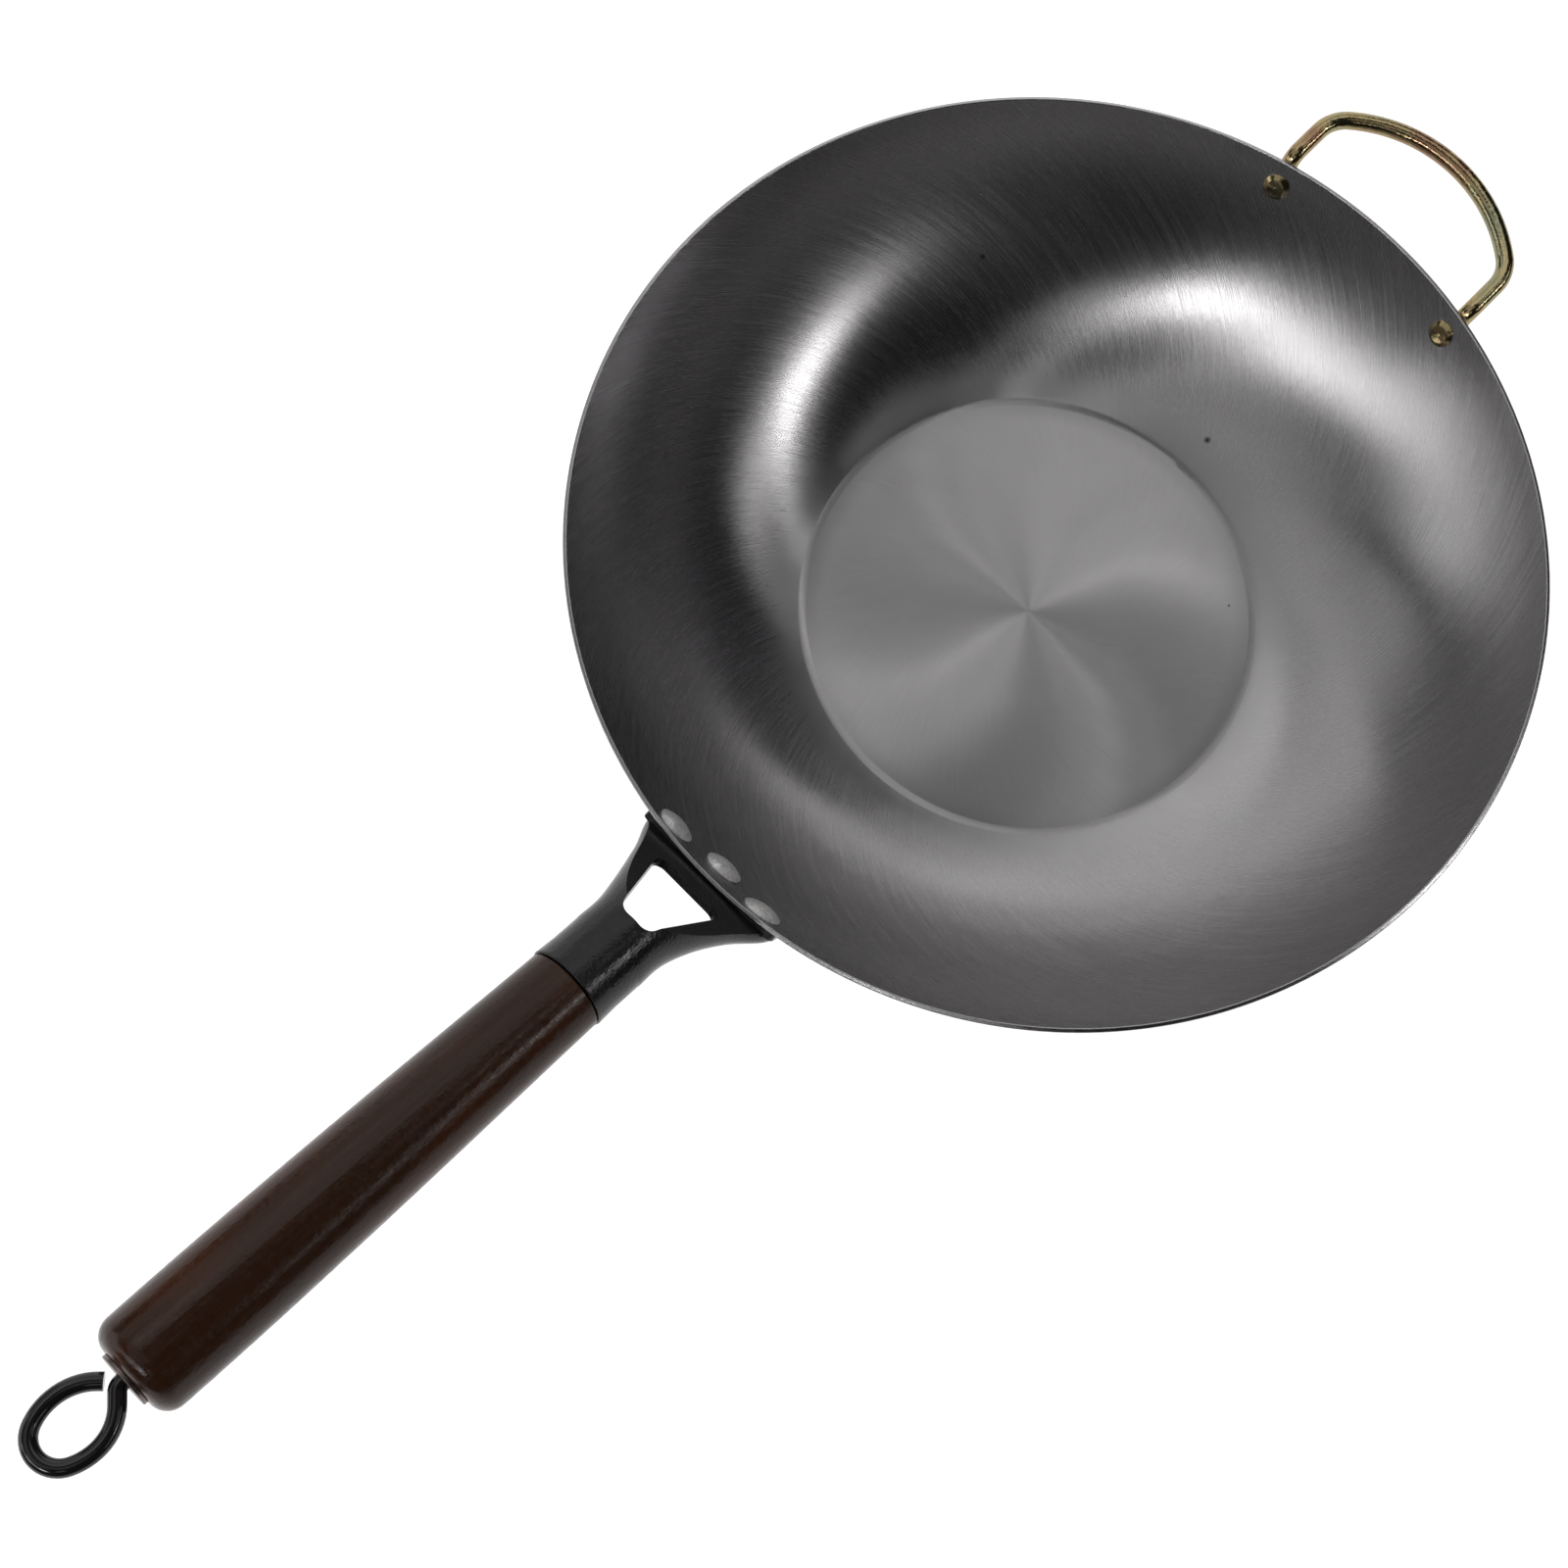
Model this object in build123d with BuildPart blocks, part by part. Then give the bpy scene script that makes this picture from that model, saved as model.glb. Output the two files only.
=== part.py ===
from build123d import *
import os
from math import acos, asin, atan2, cos, degrees, hypot, radians, sin, tan

# Carbon steel wok, 32 cm, with a long wooden handle and a bow-shaped helper handle.
# Millimetres and degrees. The origin is the centre of the underside of the flat base,
# +Z is up and +X points along the long handle.

# Spun steel bowl
sheet = 1.5                 # thickness of the steel
bowl_height = 74.5          # base underside to the inside edge of the rim
mouth_radius = 158.6        # inside edge of the rim
base_radius = 79.0          # flat base, where the corner starts to rise
corner_radius = 8.0         # inside radius of the corner
corner_turn = 20.0          # how far the corner turns before the wall takes over
rim_break = 0.35            # rounding of the two edges of the rim

# Clearances
seat_gap = 0.1              # between curved faces that are riveted together
hole_clearance = 0.1        # rivet shank to its hole, on the radius
bore_clearance = 0.3        # tenon to collar and rod to grip, on the radius
thread_clearance = 0.05     # rod to the threaded bore, on the radius
overrun = 1.0               # how far a cut runs past the faces that it opens

# Rivets of the long handle
handle_rivet_spread = 7.05  # azimuth between neighbouring rivets
side_rivet_drop = 8.0       # rim to the outer two rivets, along the wall
middle_rivet_drop = 15.0    # rim to the middle rivet, along the wall
handle_head_radius = 6.5
handle_head_height = 2.1
handle_head_edge = 0.35     # upright edge below the dome
handle_shank_radius = 2.6
handle_tail_radius = 4.6    # formed head on the outside
handle_tail_height = 1.9
handle_tail_edge = 0.6
tail_room = 0.5             # space round a formed head, inside the fork

# Rivets of the helper handle
helper_rivet_drop = 9.3
helper_head_radius = 4.5
helper_head_height = 1.4
helper_head_bevel = 1.5     # width of the sloping ring round the centre
helper_head_dimple = 0.35   # depth of the dimple in the centre
helper_head_edge = 0.4
helper_shank_radius = 2.0
helper_tail_radius = 3.3
helper_tail_height = 1.4
helper_tail_edge = 0.5

# Bracket of the long handle
bracket_wall = 2.5          # thickness of the bracket everywhere
handle_rise = 12.9          # angle of the grip above the horizontal
collar_reach = 55.6         # rim to the mouth of the collar, measured level
collar_lift = 29.4          # rim to the mouth of the collar, measured upright
collar_radius = 13.4
collar_lip = 0.35           # how much the collar opens out at its mouth
collar_lip_length = 7.0
collar_length = 24.0
socket_depth = 15.0         # how far the tenon can enter
web_thickness = 7.0         # threaded web across the collar
mouth_break = 0.4
fork_pitch = 55.0           # slope of the flat top of the fork
fork_root_drop = 1.6        # rim down to where the flat top meets the wall
fork_length = 49.0          # end of the collar to the last section, inside the wall
fork_bend = 32.0            # how far the last section lies below the line of the grip
fork_half_width = 27.0      # at the wall
fork_half_height = 11.0     # at the wall
fork_skirt = 3.5            # how far the sides reach below the middle of the fork
fork_bend_shares = [0.037, 0.125, 0.262, 0.437, 0.625, 0.812, 1.0]
fork_width_shares = [0.09, 0.235, 0.405, 0.6, 0.85, 1.0, 0.97]
fork_height_shares = [0.09, 0.3, 0.52, 0.72, 0.9, 1.0, 1.0]
flange_half_width = 28.0
flange_top_drop = 1.5       # rim to the top edge of the flange, along the wall
flange_bottom_drop = 24.0
flange_top_corner = 3.0
flange_corner = 8.0
window_root = 5.7           # wall to the near edge of the window, measured level
window_end = 27.6           # wall to the far edge of the window, measured level
window_root_half = 13.8     # half width at the near edge, before rounding
window_end_half = 5.9       # half width at the far edge, before rounding
window_root_corner = 4.0
window_end_corner = 5.0
window_draft = 14.0         # slope of the walls of the window

# Wooden grip
grip_length = 155.7
shoulder_gap = 0.4          # groove between collar and shoulder
tenon_gap = 0.6             # end of the tenon to the web
grip_front_radius = 13.3
grip_butt_radius = 15.1     # where the rounding of the butt starts
grip_belly = 15.27          # widest radius, ahead of the butt
grip_place_shares = [0.21, 0.42, 0.63, 0.86]
grip_swell_shares = [0.33, 0.66, 0.9, 1.0]
grip_shoulder_break = 0.5
grip_butt_round = 6.0

# Washer and hanging loop
washer_radius = 8.3
washer_thickness = 1.2
washer_break = 0.2
wire_radius = 2.5
thread_end = 1.0            # rod end to the far face of the web
neck_start = 0.3            # washer to the first bend
neck_radius = 3.2           # first bend of the wire
neck_turn = 51.0
neck_run = 3.2              # straight after the first bend
shoulder_radius = 14.0      # bend of the first leg
flank_radius = 16.0         # gentle curve either side of the tip
flank_turn = 25.0
tail_radius = 16.0          # bend of the second leg
tail_turn = 45.0
tail_run = 1.4
wire_break = 0.5            # rounding of the two ends of the wire

# Helper handle
rod_radius = 3.0
helper_half_span = 40.0     # centre plane to the centre line of a leg
helper_reach = 33.6         # rim to the centre line of the bow
helper_rise = 6.0           # slope of the bow above the horizontal
helper_corner_radius = 13.0
helper_corner_turn = 50.0
helper_bend_radius = 5.5    # bend between foot and leg
helper_bend_rise = 1.0      # rim up to where the lines of foot and leg meet
foot_width = 8.6
foot_thickness = 3.0
foot_length = 18.5          # rim to the end of the foot, along the wall
foot_neck = 3.4             # length over which the flat foot becomes a round rod

# The wall of the bowl is an arc that carries on smoothly from the corner to the rim
turn = radians(corner_turn)
corner_end_radius = base_radius + corner_radius * sin(turn)
corner_end_height = sheet + corner_radius * (1 - cos(turn))
chord_slope = atan2(bowl_height - corner_end_height, mouth_radius - corner_end_radius)
chord_length = hypot(bowl_height - corner_end_height, mouth_radius - corner_end_radius)
rim_slope = 2 * chord_slope - turn
wall_radius = chord_length / (2 * sin(chord_slope - turn))
wall_length = wall_radius * (rim_slope - turn)
wall_centre_x = mouth_radius - wall_radius * sin(rim_slope)
wall_centre_z = bowl_height + wall_radius * cos(rim_slope)
rim_radius = mouth_radius + sheet * sin(rim_slope)


def wall_point(drop, depth):
    """Radius and height of a point at a distance below the rim, so deep behind the inside face."""
    slope = rim_slope - drop / wall_radius
    reach = wall_radius + depth
    return wall_centre_x + reach * sin(slope), wall_centre_z - reach * cos(slope)


def wall_place(azimuth, drop, depth):
    """The same point in space, at an azimuth."""
    radius, height = wall_point(drop, depth)
    return Vector(radius * cos(radians(azimuth)), radius * sin(radians(azimuth)), height)


def wall_up(azimuth, drop):
    """Direction that runs up the wall."""
    slope = rim_slope - drop / wall_radius
    level = cos(slope)
    return Vector(level * cos(radians(azimuth)), level * sin(radians(azimuth)), sin(slope))


def wall_plane(azimuth, drop, depth):
    """Plane on the wall. Its normal points into the bowl and its Y direction up the wall."""
    around = Vector(-sin(radians(azimuth)), cos(radians(azimuth)), 0)
    facing = -around.cross(wall_up(azimuth, drop))
    return Plane(origin=wall_place(azimuth, drop, depth), x_dir=-around, z_dir=facing)


def wall_band(top, bottom, depth, thickness):
    """Outline of a strip of plate that follows the wall."""
    middle = (top + bottom) / 2
    near = ThreePointArc(wall_point(top, depth), wall_point(middle, depth), wall_point(bottom, depth))
    back = depth + thickness
    far = ThreePointArc(wall_point(bottom, back), wall_point(middle, back), wall_point(top, back))
    Line(near @ 1, far @ 0)
    Line(far @ 1, near @ 0)


os.makedirs("parts", exist_ok=True)

# Places of the rivets and of the feet of the helper handle
handle_rivets = {
    "handle_rivet_left": (handle_rivet_spread, side_rivet_drop),
    "handle_rivet_middle": (0, middle_rivet_drop),
    "handle_rivet_right": (-handle_rivet_spread, side_rivet_drop),
}
plate_depth = sheet + seat_gap
rod_depth = plate_depth + rod_radius
leg_radius, leg_height = wall_point(-helper_bend_rise, rod_depth)
foot_azimuth = degrees(asin(helper_half_span / leg_radius))
helper_rivets = {
    "helper_rivet_left": (180 - foot_azimuth, helper_rivet_drop),
    "helper_rivet_right": (180 + foot_azimuth, helper_rivet_drop),
}

# The bowl, spun from one disc of steel and drilled for the rivets
with BuildPart() as wok_bowl:
    with BuildSketch(Plane.YZ):
        with BuildLine():
            floor = Line((0, sheet), (base_radius, sheet))
            corner = JernArc(floor @ 1, floor % 1, corner_radius, corner_turn)
            wall = TangentArc(corner @ 1, (mouth_radius, bowl_height), tangent=corner % 1)
            lip = Line(wall @ 1, wall_point(0, sheet))
            outer_wall = TangentArc(lip @ 1, wall_point(wall_length, sheet), tangent=-(wall % 1))
            outer_corner = TangentArc(outer_wall @ 1, (base_radius, 0), tangent=-(corner % 1))
            underside = Line(outer_corner @ 1, (0, 0))
            Line(underside @ 1, floor @ 0)
        make_face()
    revolve(axis=Axis.Z)
    rim_edges = wok_bowl.edges().filter_by(GeomType.CIRCLE).sort_by(Axis.Z)[-2:]
    fillet(rim_edges, rim_break)
    for azimuth, drop in handle_rivets.values():
        with BuildSketch(wall_plane(azimuth, drop, 0)):
            Circle(handle_shank_radius + hole_clearance)
    for azimuth, drop in helper_rivets.values():
        with BuildSketch(wall_plane(azimuth, drop, 0)):
            Circle(helper_shank_radius + hole_clearance)
    extrude(amount=sheet + overrun, both=True, mode=Mode.SUBTRACT)
wok_bowl.part.label = "wok_bowl"
export_step(wok_bowl.part, "parts/wok_bowl.step")

# Everything inside the middle of the flange, where the fork ends
with BuildPart() as wall_plug:
    with BuildSketch(Plane.YZ):
        with BuildLine():
            fork_end = plate_depth + bracket_wall / 2
            face_line = ThreePointArc(
                wall_point(0, fork_end),
                wall_point(wall_length / 2, fork_end),
                wall_point(wall_length, fork_end),
            )
            Polyline(face_line @ 1, (0, (face_line @ 1).Y), (0, (face_line @ 0).Y), face_line @ 0)
        make_face()
    revolve(axis=Axis.Z)

# The line of the grip, and planes along it
rise = radians(handle_rise)
grip_direction = Vector(cos(rise), 0, sin(rise))
mouth_centre = Vector(rim_radius + collar_reach, 0, bowl_height + collar_lift)
grip_axis = Axis(mouth_centre, grip_direction)
grip_side = Plane(origin=mouth_centre, x_dir=grip_direction, z_dir=(0, -1, 0))
grip_top = Plane(origin=mouth_centre, x_dir=grip_direction, z_dir=(-sin(rise), 0, cos(rise)))


def grip_plane(distance):
    """Plane square to the grip, its normal pointing to the butt."""
    return Plane(origin=mouth_centre + grip_direction * distance, x_dir=(0, 1, 0), z_dir=grip_direction)


# Sections of the fork, from the collar to inside the wall, all square to the grip
fork_sections = []
for number, (bend, width, height) in enumerate(zip(fork_bend_shares, fork_width_shares, fork_height_shares)):
    section = grip_plane(-collar_length - fork_length * (number + 1) / len(fork_bend_shares))
    section.origin -= grip_top.z_dir * (fork_bend * bend)
    half_width = collar_radius + (fork_half_width - collar_radius) * width
    half_height = collar_radius + (fork_half_height - collar_radius) * height
    fork_sections.append((section, half_width, half_height))

# The flat top of the fork runs up from the wall behind the rim
pitch = radians(fork_pitch)
fork_up = Vector(cos(pitch), 0, sin(pitch))
fork_normal = Vector(-sin(pitch), 0, cos(pitch))
top_foot = Vector(rim_radius, 0, bowl_height - fork_root_drop)
fork_top = Plane(origin=top_foot, x_dir=(0, 1, 0), z_dir=fork_normal)
fork_ceiling = fork_top.offset(-bracket_wall)
web_end = -(socket_depth + web_thickness)

# Hollow of the fork
with BuildPart() as fork_hollow:
    with BuildSketch(grip_plane(web_end)):
        Circle(collar_radius - bracket_wall)
    for section, half_width, half_height in fork_sections:
        with BuildSketch(section):
            Ellipse(half_width - bracket_wall, half_height - bracket_wall)
    loft()
    split(bisect_by=fork_ceiling, keep=Keep.BOTTOM)

# Flange behind the rim
with BuildPart() as flange:
    with BuildSketch(Plane.YZ):
        with BuildLine():
            wall_band(flange_top_drop, flange_bottom_drop, plate_depth, bracket_wall)
        make_face()
    revolve(axis=Axis.Z)
    with BuildSketch(wall_plane(0, flange_top_drop, plate_depth)):
        flange_height = flange_bottom_drop - flange_top_drop
        Rectangle(2 * flange_half_width, flange_height, align=(Align.CENTER, Align.MAX))
        fillet(vertices().sort_by(Axis.Y)[:2], flange_corner)
        fillet(vertices().sort_by(Axis.Y)[-2:], flange_top_corner)
    extrude(amount=flange_half_width / 2, both=True, mode=Mode.INTERSECT)

# The bracket: collar, fork and flange
with BuildPart() as handle_bracket:
    for share in (2 / 3, 5 / 6, 1):
        with BuildSketch(grip_plane(-collar_length * share)):
            Circle(collar_radius)
    for section, half_width, half_height in fork_sections:
        with BuildSketch(section):
            Ellipse(half_width, half_height)
    loft()
    split(bisect_by=fork_top, keep=Keep.BOTTOM)
    # Open underside
    with BuildSketch(Plane.XZ):
        with BuildLine():
            below = [(section.origin.X, section.origin.Z - fork_skirt) for section, _, _ in fork_sections]
            collar_foot = grip_plane(-collar_length).origin - grip_top.z_dir * collar_radius
            Polyline(
                (collar_foot.X, collar_foot.Z),
                *below,
                (below[-1][0], 0),
                (collar_foot.X, 0),
                close=True,
            )
        make_face()
    extrude(amount=fork_half_width * 2, both=True, mode=Mode.SUBTRACT)
    add(fork_hollow.part, mode=Mode.SUBTRACT)
    add(wall_plug.part, mode=Mode.SUBTRACT)
    # Triangular window in the flat top
    with BuildSketch(fork_top):
        with BuildLine():
            near = window_root / cos(pitch)
            far = window_end / cos(pitch)
            Polyline(
                (-window_root_half, -near),
                (window_root_half, -near),
                (window_end_half, -far),
                (-window_end_half, -far),
                close=True,
            )
        make_face()
        fillet(vertices().sort_by(Axis.Y)[:2], window_end_corner)
        fillet(vertices().sort_by(Axis.Y)[-2:], window_root_corner)
    extrude(amount=-2 * bracket_wall, taper=window_draft, mode=Mode.SUBTRACT)
    # Collar
    with BuildSketch(grip_side):
        with BuildLine():
            Polyline(
                (-collar_length * 2 / 3, 0),
                (-collar_length * 2 / 3, collar_radius),
                (-collar_lip_length, collar_radius),
                (0, collar_radius + collar_lip),
                (0, 0),
                close=True,
            )
        make_face()
        fillet(vertices().group_by(Axis.X)[-1].sort_by(Axis.Y)[-1], mouth_break)
    revolve(axis=grip_axis)
    with BuildSketch(grip_plane(0)):
        Circle(collar_radius - bracket_wall)
    extrude(amount=-socket_depth, mode=Mode.SUBTRACT)
    with BuildSketch(grip_plane(-socket_depth)):
        Circle(wire_radius + thread_clearance)
    extrude(amount=-(web_thickness + overrun), mode=Mode.SUBTRACT)
    # Room for the formed heads of the rivets
    for azimuth, drop in handle_rivets.values():
        with BuildSketch(wall_plane(azimuth, drop, plate_depth)):
            Circle(handle_tail_radius + tail_room)
    extrude(amount=-(bracket_wall + handle_tail_height + tail_room), mode=Mode.SUBTRACT)
    add(flange.part)
    # Rivet holes
    for azimuth, drop in handle_rivets.values():
        with BuildSketch(wall_plane(azimuth, drop, plate_depth + bracket_wall)):
            Circle(handle_shank_radius + hole_clearance)
    extrude(amount=bracket_wall + overrun, mode=Mode.SUBTRACT)
handle_bracket.part.label = "handle_bracket"
export_step(handle_bracket.part, "parts/handle_bracket.step")

# Rivets of the long handle: domed head inside, formed head behind the flange
handle_seat = handle_head_radius**2 / (2 * mouth_radius) + seat_gap
handle_clinch = sheet + bracket_wall + 2 * seat_gap
for rivet_name, (azimuth, drop) in handle_rivets.items():
    place = wall_plane(azimuth, drop, 0)
    with BuildPart() as handle_rivet:
        with BuildSketch(Plane(origin=place.origin, x_dir=place.x_dir, z_dir=-place.y_dir)):
            with BuildLine():
                outline = Line(
                    (0, -handle_clinch - handle_tail_height),
                    (0, handle_seat + handle_head_height),
                )
                dome_edge = (handle_head_radius, handle_seat + handle_head_edge)
                TangentArc(outline @ 1, dome_edge, tangent=(1, 0))
                shank = Polyline(
                    dome_edge,
                    (handle_head_radius, handle_seat),
                    (handle_shank_radius, handle_seat),
                    (handle_shank_radius, -handle_clinch),
                    (handle_tail_radius, -handle_clinch),
                    (handle_tail_radius, -handle_clinch - handle_tail_edge),
                )
                TangentArc(outline @ 0, shank @ 1, tangent=(1, 0))
            make_face()
        revolve(axis=Axis(place.origin, place.z_dir))
    handle_rivet.part.label = rivet_name
    export_step(handle_rivet.part, "parts/" + rivet_name + ".step")

# Rivets of the helper handle: bevelled head with a dimple inside, formed head behind the foot
helper_seat = helper_head_radius**2 / (2 * mouth_radius) + seat_gap
helper_clinch = sheet + foot_thickness + 2 * seat_gap
for rivet_name, (azimuth, drop) in helper_rivets.items():
    place = wall_plane(azimuth, drop, 0)
    with BuildPart() as helper_rivet:
        with BuildSketch(Plane(origin=place.origin, x_dir=place.x_dir, z_dir=-place.y_dir)):
            with BuildLine():
                outline = Line(
                    (0, -helper_clinch - helper_tail_height),
                    (0, helper_seat + helper_head_height - helper_head_dimple),
                )
                dimple_edge = (helper_head_radius - helper_head_bevel, helper_seat + helper_head_height)
                TangentArc(outline @ 1, dimple_edge, tangent=(1, 0))
                shank = Polyline(
                    dimple_edge,
                    (helper_head_radius, helper_seat + helper_head_edge),
                    (helper_head_radius, helper_seat),
                    (helper_shank_radius, helper_seat),
                    (helper_shank_radius, -helper_clinch),
                    (helper_tail_radius, -helper_clinch),
                    (helper_tail_radius, -helper_clinch - helper_tail_edge),
                )
                TangentArc(outline @ 0, shank @ 1, tangent=(1, 0))
            make_face()
        revolve(axis=Axis(place.origin, place.z_dir))
    helper_rivet.part.label = rivet_name
    export_step(helper_rivet.part, "parts/" + rivet_name + ".step")

# The wooden grip, turned with a tenon and bored from end to end
with BuildPart() as wood_grip:
    with BuildSketch(grip_side):
        with BuildLine():
            body_length = grip_length - grip_butt_round - shoulder_gap
            swell = [(shoulder_gap, grip_front_radius)]
            for place_share, swell_share in zip(grip_place_shares, grip_swell_shares):
                swell_radius = grip_front_radius + (grip_belly - grip_front_radius) * swell_share
                swell.append((shoulder_gap + body_length * place_share, swell_radius))
            swell.append((shoulder_gap + body_length, grip_butt_radius))
            side = Spline(*swell)
            butt = TangentArc(side @ 1, (grip_length, grip_butt_radius - grip_butt_round), tangent=side % 1)
            tenon_radius = collar_radius - bracket_wall - bore_clearance
            bore_radius = wire_radius + bore_clearance
            Polyline(
                butt @ 1,
                (grip_length, bore_radius),
                (tenon_gap - socket_depth, bore_radius),
                (tenon_gap - socket_depth, tenon_radius),
                (shoulder_gap, tenon_radius),
                side @ 0,
            )
        make_face()
        fillet(vertices().group_by(Axis.X)[1].sort_by(Axis.Y)[-1], grip_shoulder_break)
    revolve(axis=grip_axis)
wood_grip.part.label = "wood_grip"
export_step(wood_grip.part, "parts/wood_grip.step")

# The washer on the butt
with BuildPart() as end_washer:
    with BuildSketch(grip_plane(grip_length)):
        Circle(washer_radius)
        Circle(wire_radius + bore_clearance, mode=Mode.SUBTRACT)
    extrude(amount=washer_thickness)
    washer_rims = end_washer.edges().filter_by(GeomType.CIRCLE).group_by(SortBy.RADIUS)[-1]
    fillet(washer_rims, washer_break)
end_washer.part.label = "end_washer"
export_step(end_washer.part, "parts/end_washer.step")

# The hanging loop and its rod, one piece of wire screwed into the web of the bracket
with BuildPart() as hanging_loop:
    with BuildLine(grip_top) as wire_line:
        neck_place = grip_length + washer_thickness + neck_start
        rod = Line((web_end + thread_end, 0), (neck_place, 0))
        neck = JernArc(rod @ 1, rod % 1, neck_radius, neck_turn)
        run = Line(neck @ 1, neck @ 1 + (neck % 1) * neck_run)
        first_shoulder = JernArc(run @ 1, run % 1, shoulder_radius, -neck_turn)
        first_flank = JernArc(first_shoulder @ 1, first_shoulder % 1, flank_radius, -flank_turn)
        tip_radius = (first_flank @ 1).Y / cos(radians(flank_turn))
        tip = JernArc(first_flank @ 1, first_flank % 1, tip_radius, 2 * flank_turn - 180)
        second_flank = JernArc(tip @ 1, tip % 1, flank_radius, -flank_turn)
        tail = JernArc(second_flank @ 1, second_flank % 1, tail_radius, -tail_turn)
        Line(tail @ 1, tail @ 1 + (tail % 1) * tail_run)
    with BuildSketch(grip_plane(web_end + thread_end)):
        Circle(wire_radius)
    sweep(path=wire_line.wire())
    fillet(hanging_loop.edges().filter_by(GeomType.CIRCLE).group_by(Axis.X)[0], wire_break)
hanging_loop.part.label = "hanging_loop"
export_step(hanging_loop.part, "parts/hanging_loop.step")

# The helper handle: a bent rod whose flattened feet lie against the outside of the wall
bow_direction = Vector(-cos(radians(helper_rise)), 0, sin(radians(helper_rise)))
leg_x = -(leg_radius**2 - helper_half_span**2) ** 0.5
bow_plane = Plane(
    origin=(leg_x, 0, leg_height),
    x_dir=bow_direction,
    z_dir=bow_direction.cross(Vector(0, 1, 0)),
)
foot_up = wall_up(180 - foot_azimuth, -helper_bend_rise)
bend_turn = acos(foot_up.dot(bow_direction))
bend_reach = helper_bend_radius * tan(bend_turn / 2)
corner_turned = radians(helper_corner_turn)
corner_run = helper_corner_radius * sin(corner_turned)
corner_inset = helper_corner_radius * (1 - cos(corner_turned))
bow_half = helper_half_span - corner_inset
bow_height = bow_half / cos(corner_turned) * (1 - sin(corner_turned))
bow_reach = (helper_reach + rim_radius + leg_x) / cos(radians(helper_rise))
leg_run = bow_reach - bow_height - corner_run
foot_middle = plate_depth + foot_thickness / 2
plate_top = bend_reach - helper_bend_rise + foot_neck
with BuildPart() as foot_ring:
    with BuildSketch(Plane.YZ):
        with BuildLine():
            wall_band(plate_top, foot_length, plate_depth, foot_thickness)
        make_face()
    revolve(axis=Axis.Z)
foot_azimuths = (180 - foot_azimuth, 180 + foot_azimuth)
with BuildPart() as feet:
    for azimuth in foot_azimuths:
        with BuildSketch(wall_plane(azimuth, foot_length - foot_width / 2, plate_depth)):
            Circle(foot_width / 2)
            Rectangle(
                foot_width,
                foot_length - foot_width / 2 - plate_top,
                align=(Align.CENTER, Align.MIN),
            )
    extrude(amount=2 * foot_thickness, both=True)
    add(foot_ring.part, mode=Mode.INTERSECT)
with BuildPart() as helper_handle:
    with BuildLine() as rod_line:
        first_leg = bow_plane.from_local_coords((0, helper_half_span))
        bend_end = first_leg + bow_direction * bend_reach
        first_bend = TangentArc(first_leg - foot_up * bend_reach, bend_end, tangent=foot_up)
        leg = Line(first_bend @ 1, bow_plane.from_local_coords((leg_run, helper_half_span)))
        bow_start = bow_plane.from_local_coords((leg_run + corner_run, bow_half))
        first_corner = TangentArc(leg @ 1, bow_start, tangent=leg % 1)
        bow_end = bow_plane.from_local_coords((leg_run + corner_run, -bow_half))
        bow = TangentArc(first_corner @ 1, bow_end, tangent=first_corner % 1)
        corner_end = bow_plane.from_local_coords((leg_run, -helper_half_span))
        second_corner = TangentArc(bow @ 1, corner_end, tangent=bow % 1)
        second_leg = bow_plane.from_local_coords((0, -helper_half_span))
        other_leg = Line(second_corner @ 1, second_leg + bow_direction * bend_reach)
        other_up = Vector(foot_up.X, -foot_up.Y, foot_up.Z)
        TangentArc(other_leg @ 1, second_leg - other_up * bend_reach, tangent=-bow_direction)
    with BuildSketch(Plane(origin=rod_line.wire() @ 0, z_dir=foot_up)):
        Circle(rod_radius)
    sweep(path=rod_line.wire())
    add(feet.part)
    for azimuth, up in zip(foot_azimuths, (foot_up, other_up)):
        around = Vector(-sin(radians(azimuth)), cos(radians(azimuth)), 0)
        bend_foot = wall_place(azimuth, -helper_bend_rise, rod_depth) - up * bend_reach
        plate_head = wall_place(azimuth, plate_top + seat_gap, foot_middle)
        with BuildSketch(Plane(origin=bend_foot, x_dir=around, z_dir=up)):
            Circle(rod_radius)
        with BuildSketch(Plane(origin=plate_head, x_dir=around, z_dir=wall_up(azimuth, plate_top))):
            SlotOverall(foot_width, foot_thickness)
        loft()
    for azimuth in foot_azimuths:
        with BuildSketch(wall_plane(azimuth, helper_rivet_drop, plate_depth + foot_thickness)):
            Circle(helper_shank_radius + hole_clearance)
    extrude(amount=foot_thickness + overrun, mode=Mode.SUBTRACT)
helper_handle.part.label = "helper_handle"
export_step(helper_handle.part, "parts/helper_handle.step")
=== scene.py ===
import math

import bpy
from mathutils import Matrix, Vector

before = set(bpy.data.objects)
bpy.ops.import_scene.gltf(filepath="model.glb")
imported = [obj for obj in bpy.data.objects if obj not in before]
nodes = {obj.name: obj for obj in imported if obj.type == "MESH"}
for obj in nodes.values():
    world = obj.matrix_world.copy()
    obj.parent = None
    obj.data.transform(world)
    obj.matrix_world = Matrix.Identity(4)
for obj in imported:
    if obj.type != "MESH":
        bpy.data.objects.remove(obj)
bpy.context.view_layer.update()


# The camera looks down into the bowl, nearly upright, from a little towards the grip. The long handle
# runs to the lower left of the picture, and the helper handle is at the upper right.
lens_width = 36
lens_length = 49.5
shift_right, shift_up = -.0181, -.0019
camera_place = Vector((.256115, .096852, .722141))
camera_right = Vector((-.707077, .705341, .050359))
camera_up = Vector((-.67491, -.694393, .249629))
camera_back = camera_right.cross(camera_up)
camera_data = bpy.data.cameras.new("camera")
camera_data.sensor_width = lens_width
camera_data.lens = lens_length
camera_data.shift_x = shift_right
camera_data.shift_y = shift_up
camera_data.clip_start = .01
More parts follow.
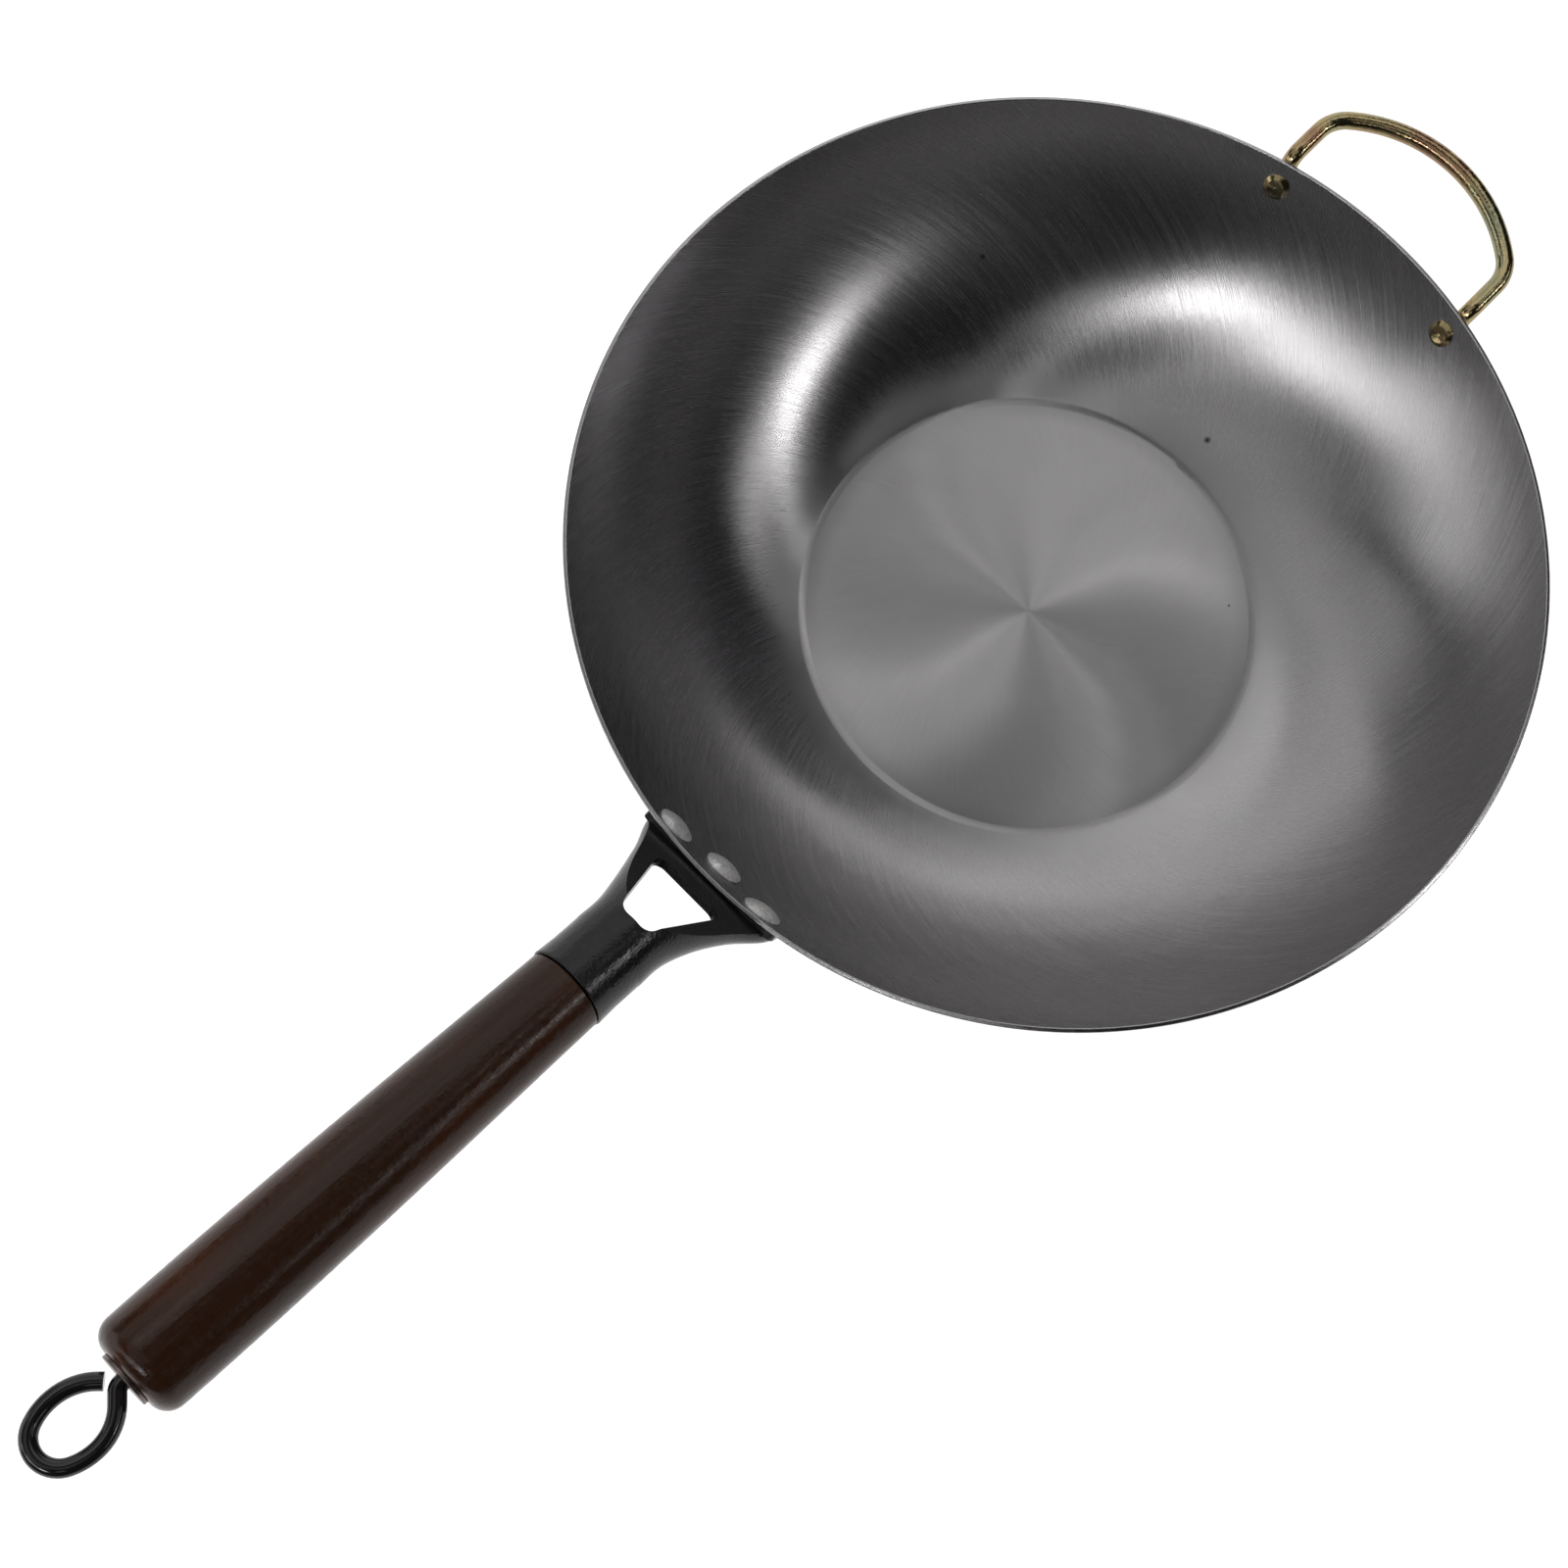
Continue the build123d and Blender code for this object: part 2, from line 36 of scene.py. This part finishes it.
camera = bpy.data.objects.new("camera", camera_data)
camera.matrix_world = Matrix((camera_right, camera_up, camera_back)).transposed().to_4x4()
camera.matrix_world.translation = camera_place
bpy.context.collection.objects.link(camera)
bpy.context.scene.camera = camera
bpy.context.scene.view_settings.view_transform = "Standard"


# The lights are soft panels round a white table. Two small bright ones stand at the long handle's end
# and to its left, with wider and dimmer ones beside them, and five large weak ones fill from the rest.
def panel(name, azimuth, elevation, distance, width, height, glow):
    """A rectangular light turned towards the middle of the bowl. Its angles are in degrees and its
    sizes in metres, and the glow is how bright its face is."""
    light = bpy.data.lights.new(name, "AREA")
    light.shape = "RECTANGLE"
    light.size = width
    light.size_y = height
    light.energy = glow * math.pi * width * height
    stand = bpy.data.objects.new(name, light)
    turn, lift = math.radians(azimuth), math.radians(elevation)
    level = math.cos(lift)
    towards = Vector((math.cos(turn) * level, math.sin(turn) * level, math.sin(lift)))
    stand.matrix_world = towards.to_track_quat("Z", "Y").to_matrix().to_4x4()
    stand.matrix_world.translation = towards * distance
    bpy.context.collection.objects.link(stand)


panel("panel_right", 13, 39, 1.95, .3, .17, 14)
panel("panel_right_wide", 0, 37, 2, 1.1, .25, 5.6)
panel("panel_right_low", -20, 28, 2, .9, .28, 2.8)
panel("panel_between", 40, 50, 2, .3, .3, 1.6)
panel("panel_left", 119, 36, 1.95, .3, .14, 14)
panel("panel_left_wide", 122, 35, 2, 1.6, .22, 2.8)
panel("panel_left_high", 140, 60, 2, .35, .32, 1.6)
panel("panel_overhead", 30, 80, 2, .7, .63, .6)
panel("fill_top_left", 225, 61, 2, 1.94, 1.07, 1.1)
panel("fill_top_right", 315, 61, 2, 1.94, 1.07, .6)
panel("fill_middle", 250, 35, 2, 3.3, .78, .8)
panel("fill_low_left", 225, 14, 2, 3.2, .7, 1.3)
panel("fill_low_right", 315, 14, 2, 1.4, .7, 1.7)

room_light = .015
world = bpy.data.worlds.new("studio")
world.use_nodes = True
room = world.node_tree.nodes["Background"]
room.inputs["Color"].default_value = (1, 1, 1, 1)
room.inputs["Strength"].default_value = room_light
bpy.context.scene.world = world


# The table top under the wok is a matt white sheet, wider than the view, which glows a little by
# itself so that it comes out white. It only carries the wok, and is no part of it.
def finish_of(name, numbers):
    """A new material with the numbers set on its shader."""
    material = bpy.data.materials.new(name)
    material.use_nodes = True
    shader = material.node_tree.nodes["Principled BSDF"]
    for socket, value in numbers.items():
        shader.inputs[socket].default_value = value
    return material, shader


table_width = 8
bpy.ops.object.select_all(action="DESELECT")
bpy.ops.mesh.primitive_plane_add(size=table_width, location=(0, 0, 0))
table = bpy.context.active_object
table.name = "table_top"
white, _ = finish_of("matt_white", {
    "Base Color": (.5, .5, .5, 1), "Roughness": .9, "Specular IOR Level": .1,
    "Emission Color": (1, 1, 1, 1), "Emission Strength": .84})
table.data.materials.append(white)


# The bowl is one carbon steel sheet, spun to a flat base and a flared wall, then brushed from the
# middle outwards while it turned, so the strokes run out as a spiral that turns more near the rim.
class Field:
    """What a shader node gives at each point. Sums written with it add Math nodes."""

    def __init__(self, socket):
        self.socket = socket

    def node(self, kind, settings=None, inputs=None, output=0):
        """Adds a node: first its settings, then the values or links of its sockets."""
        tree = self.socket.id_data
        made = tree.nodes.new(kind)
        for name, value in (settings or {}).items():
            setattr(made, name, value)
        for name, value in (inputs or {}).items():
            if isinstance(value, Field):
                tree.links.new(value.socket, made.inputs[name])
            else:
                made.inputs[name].default_value = value
        return Field(made.outputs[output])

    def maths(self, operation, *others):
        values = dict(enumerate((self,) + others))
        return self.node("ShaderNodeMath", {"operation": operation}, values)

    def __add__(self, other):
        return self.maths("ADD", other)

    __radd__ = __add__

    def __sub__(self, other):
        return self.maths("SUBTRACT", other)

    def __rsub__(self, other):
        return self * -1 + other

    def __mul__(self, other):
        return self.maths("MULTIPLY", other)

    __rmul__ = __mul__

    def __truediv__(self, other):
        return self.maths("DIVIDE", other)

    def part(self, name):
        """X, Y or Z of a vector."""
        return self.node("ShaderNodeSeparateXYZ", None, {0: self}, name)

    def vector(self, x, y, z):
        return self.node("ShaderNodeCombineXYZ", None, {0: x, 1: y, 2: z})

    def stretched(self, x, y, z):
        """The place with its parts multiplied, which draws out a pattern on it where they are small."""
        sizes = {0: self, 1: (x, y, z)}
        return self.node("ShaderNodeVectorMath", {"operation": "MULTIPLY"}, sizes)

    def turned(self, axis, angle):
        """The place turned about the Y or Z axis."""
        sizes = {"Vector": self, "Angle": angle}
        return self.node("ShaderNodeVectorRotate", {"rotation_type": axis + "_AXIS"}, sizes)

    def noise(self, at, scale, detail=2, roughness=.5):
        """A soft random pattern, from 0 to 1, with about scale grains in each unit of the place."""
        sizes = {"Vector": at, "Scale": scale, "Detail": detail, "Roughness": roughness}
        return self.node("ShaderNodeTexNoise", None, sizes)

    def spread(self, low, high, first=0, last=1):
        """Brings the range from low to high to that from first to last, and stops at both ends."""
        sizes = {"Value": self, "From Min": low, "From Max": high, "To Min": first, "To Max": last}
        return self.node("ShaderNodeMapRange", None, sizes)

    def colours(self, first, second):
        """Goes from the first colour to the second as this goes from 0 to 1."""
        sizes = {0: self, 6: first, 7: second}
        return self.node("ShaderNodeMix", {"data_type": "RGBA"}, sizes, 2)

    def bump(self, depth):
        """Tilts the surface by this height, depth metres from 0 to 1."""
        return self.node("ShaderNodeBump", None, {"Height": self, "Distance": depth, "Strength": 1})


def place_in(material):
    """Where each point of an object with this material is, in mm."""
    corner = Field(material.node_tree.nodes.new("ShaderNodeTexCoord").outputs["Object"])
    sizes = {0: corner, "Scale": 1000}
    return corner.node("ShaderNodeVectorMath", {"operation": "SCALE"}, sizes)


def feed(shader, socket, value):
    """Lets a pattern drive one socket of the shader."""
    value.socket.id_data.links.new(value.socket, shader.inputs[socket])


def wear(node, material):
    """Gives a CAD node its finish."""
    nodes[node].data.materials.clear()
    nodes[node].data.materials.append(material)


base_radius, wall_width = 79, 76
steel, plain_shader = finish_of("brushed_carbon_steel", {})
place = place_in(steel)
x, y = place.part("X"), place.part("Y")
radius = (x * x + y * y).maths("SQRT").maths("MAXIMUM", 2)

# How far the strokes have turned at each radius: evenly over the base, and ever more up the wall.
base_twist, wall_twist = .45, 2 / wall_width ** 2
on_wall = radius.maths("MAXIMUM", base_radius)
wall_swirl = on_wall * on_wall / 2 - on_wall * (2 * base_radius)
wall_swirl += on_wall.maths("LOGARITHM", math.e) * base_radius ** 2
swirl = radius.maths("LOGARITHM", math.e) * base_twist + wall_swirl * wall_twist
unwound = place.turned("Z", swirl * -1)
round_place = unwound.node("ShaderNodeVectorMath", {"operation": "DIVIDE"}, {0: unwound, 1: radius})


def brush_strokes(across, outward, detail, roughness):
    """Strokes along the spiral. Across is how fine they are side by side, and outward how short."""
    at = place.vector(round_place.part("X") * across, round_place.part("Y") * across, radius * outward)
    return place.noise(at, 1, detail, roughness)


out_on_wall = radius.spread(72, 100)
fine = brush_strokes(110, .08, 3, .6) * (1 - out_on_wall) + brush_strokes(260, .07, 3, .6) * out_on_wall
broad = brush_strokes(60, .03, 2, .5)
strokes = fine * .8 + broad * .2
mottle = place.noise(place, .02, 3, .5)
tone = (strokes - .5) * .5 + .5 + (mottle - .5) * .4
dark_steel, pale_steel = (.27, .264, .268, 1), (.45, .439, .446, 1)
steel_colour = tone.spread(.1, .9).colours(dark_steel, pale_steel)

# Three dark specks, each with its place and its radius in mm.
speck_colour = (.05, .048, .046, 1)
for centre, size in (((-75.5, -99.8, 28), .8), ((-92.5, .9, 6.4), 1), ((-53.5, 48.6, 1.5), .4)):
    away = place.node("ShaderNodeVectorMath", {"operation": "DISTANCE"}, {0: place, 1: centre}, 1)
    steel_colour = away.spread(size * .4, size * 1.6).colours(speck_colour, steel_colour)

base_roughness, wall_roughness = .33, .26
edge_blur = radius.spread(73, 79) * radius.spread(84, 80)
steel_roughness = (strokes - .5) * .2 + radius.spread(78, 100, base_roughness, wall_roughness)
steel_roughness += edge_blur * .07
steel_tilt = strokes.bump(2.8e-5)

# The gloss is drawn out across the strokes. Each ring has the degrees that its strokes are turned by,
# how much they draw the gloss out, and the two radii between which it takes over from the last.
brushed_rings = (
    (19, 1, 0, 0),
    (25, 1, 38, 54),
    (32, 1, 54, 68),
    (39, 1, 68, 82),
    (40, .9, 84, 118),
    (47, .85, 120, 146))
finish = None
for turn, drawn_out, inner, outer in brushed_rings:
    ring = place.node("ShaderNodeBsdfPrincipled", None, {
        "Base Color": steel_colour, "Metallic": 1, "Roughness": steel_roughness,
        "Anisotropic": drawn_out, "Anisotropic Rotation": turn / 360, "Normal": steel_tilt})
    if finish is None:
        finish = ring
    else:
        both = {0: radius.spread(inner, outer), 1: finish, 2: ring}
        finish = place.node("ShaderNodeMixShader", None, both)
steel.node_tree.nodes.remove(plain_shader)
feed(steel.node_tree.nodes["Material Output"], "Surface", finish)
wear("wok_bowl", steel)


# The bracket of the long handle is cast metal with a black coat, which has a fine orange-peel
# texture. Three rivets hold its flange behind the rim.
black, black_shader = finish_of("black_coat", {
    "Base Color": (.009, .009, .009, 1), "Specular IOR Level": .3})
place = place_in(black)
peel = place.noise(place, 1)
coat_roughness = place.noise(place, .15).spread(.3, .7, .16, .26)
feed(black_shader, "Normal", peel.bump(1.1e-4))
feed(black_shader, "Roughness", coat_roughness)
wear("handle_bracket", black)


# The grip is turned from wood, stained dark red-brown and lacquered. The grain runs along it, and it
# is held between the collar and the washer by the rod inside it.
grip_lift = math.radians(12.9)
wood, wood_shader = finish_of("lacquered_wood", {"Specular IOR Level": .2})
place = place_in(wood)
along = place.turned("Y", grip_lift)
grain = along.noise(along.stretched(.035, .9, .9), 1, 4, .6).spread(.3, .7)
patch = along.noise(along.stretched(.012, .06, .06), 1)
dark_wood = grain.colours((.023, .0095, .005, 1), (.034, .0135, .0065, 1))
red_wood = grain.colours((.043, .014, .006, 1), (.062, .020, .008, 1))
wood_colour = patch.spread(.52, .68).colours(dark_wood, red_wood)
pores = along.noise(along.stretched(.3, .9, .9), 1)
lacquer = place.noise(place, .9)
lacquer_roughness = place.noise(place, .5).spread(.3, .7, .15, .3)
feed(wood_shader, "Base Color", wood_colour)
feed(wood_shader, "Normal", (pores * .6 + lacquer * .4).bump(1.1e-4))
feed(wood_shader, "Roughness", lacquer_roughness)
wear("wood_grip", wood)


# The washer on the butt of the grip is plain stamped steel, pressed on by the eye behind it.
washer, _ = finish_of("washer_steel", {
    "Base Color": (.16, .13, .12, 1), "Metallic": 1, "Roughness": .35})
wear("end_washer", washer)


# The hanging loop is the bent end of the tie rod, which screws into the bracket. It is dipped in
# glossy black.
gloss, _ = finish_of("glossy_black", {
    "Base Color": (.008, .008, .008, 1), "Roughness": .14, "Specular IOR Level": .4})
wear("hanging_loop", gloss)


# Three steel rivets hold the bracket. Their heads are set by hammer, so they are a little dented
# and uneven in tone.
rivet, rivet_shader = finish_of("rivet_steel", {"Metallic": .7, "Roughness": .42})
place = place_in(rivet)
dents = place.noise(place, .35)
rivet_tone = place.noise(place, .8, 3, .6).spread(.3, .7)
feed(rivet_shader, "Normal", dents.bump(4e-4))
feed(rivet_shader, "Base Color", rivet_tone.colours((.5, .495, .49, 1), (.85, .84, .83, 1)))
for side in ("left", "middle", "right"):
    wear("handle_rivet_" + side, rivet)


# The helper handle is a bent rod with flattened feet, riveted behind the rim. It and its two rivets
# are plated with yellow zinc, whose thin film goes from copper to gold and greenish grey.
zinc, zinc_shader = finish_of("yellow_zinc", {"Metallic": 1, "Roughness": .17})
place = place_in(zinc)
copper, gold, greenish = (.27, .165, .10, 1), (.33, .265, .135, 1), (.25, .245, .15, 1)
film = place.noise(place, .06, 3, .6)
zinc_colour = film.spread(.5, .65).colours(film.spread(.35, .5).colours(copper, gold), greenish)
waves = place.noise(place, .5, 3, .5)
feed(zinc_shader, "Base Color", zinc_colour)
feed(zinc_shader, "Normal", waves.bump(1.5e-4))
for piece in ("helper_handle", "helper_rivet_left", "helper_rivet_right"):
    wear(piece, zinc)
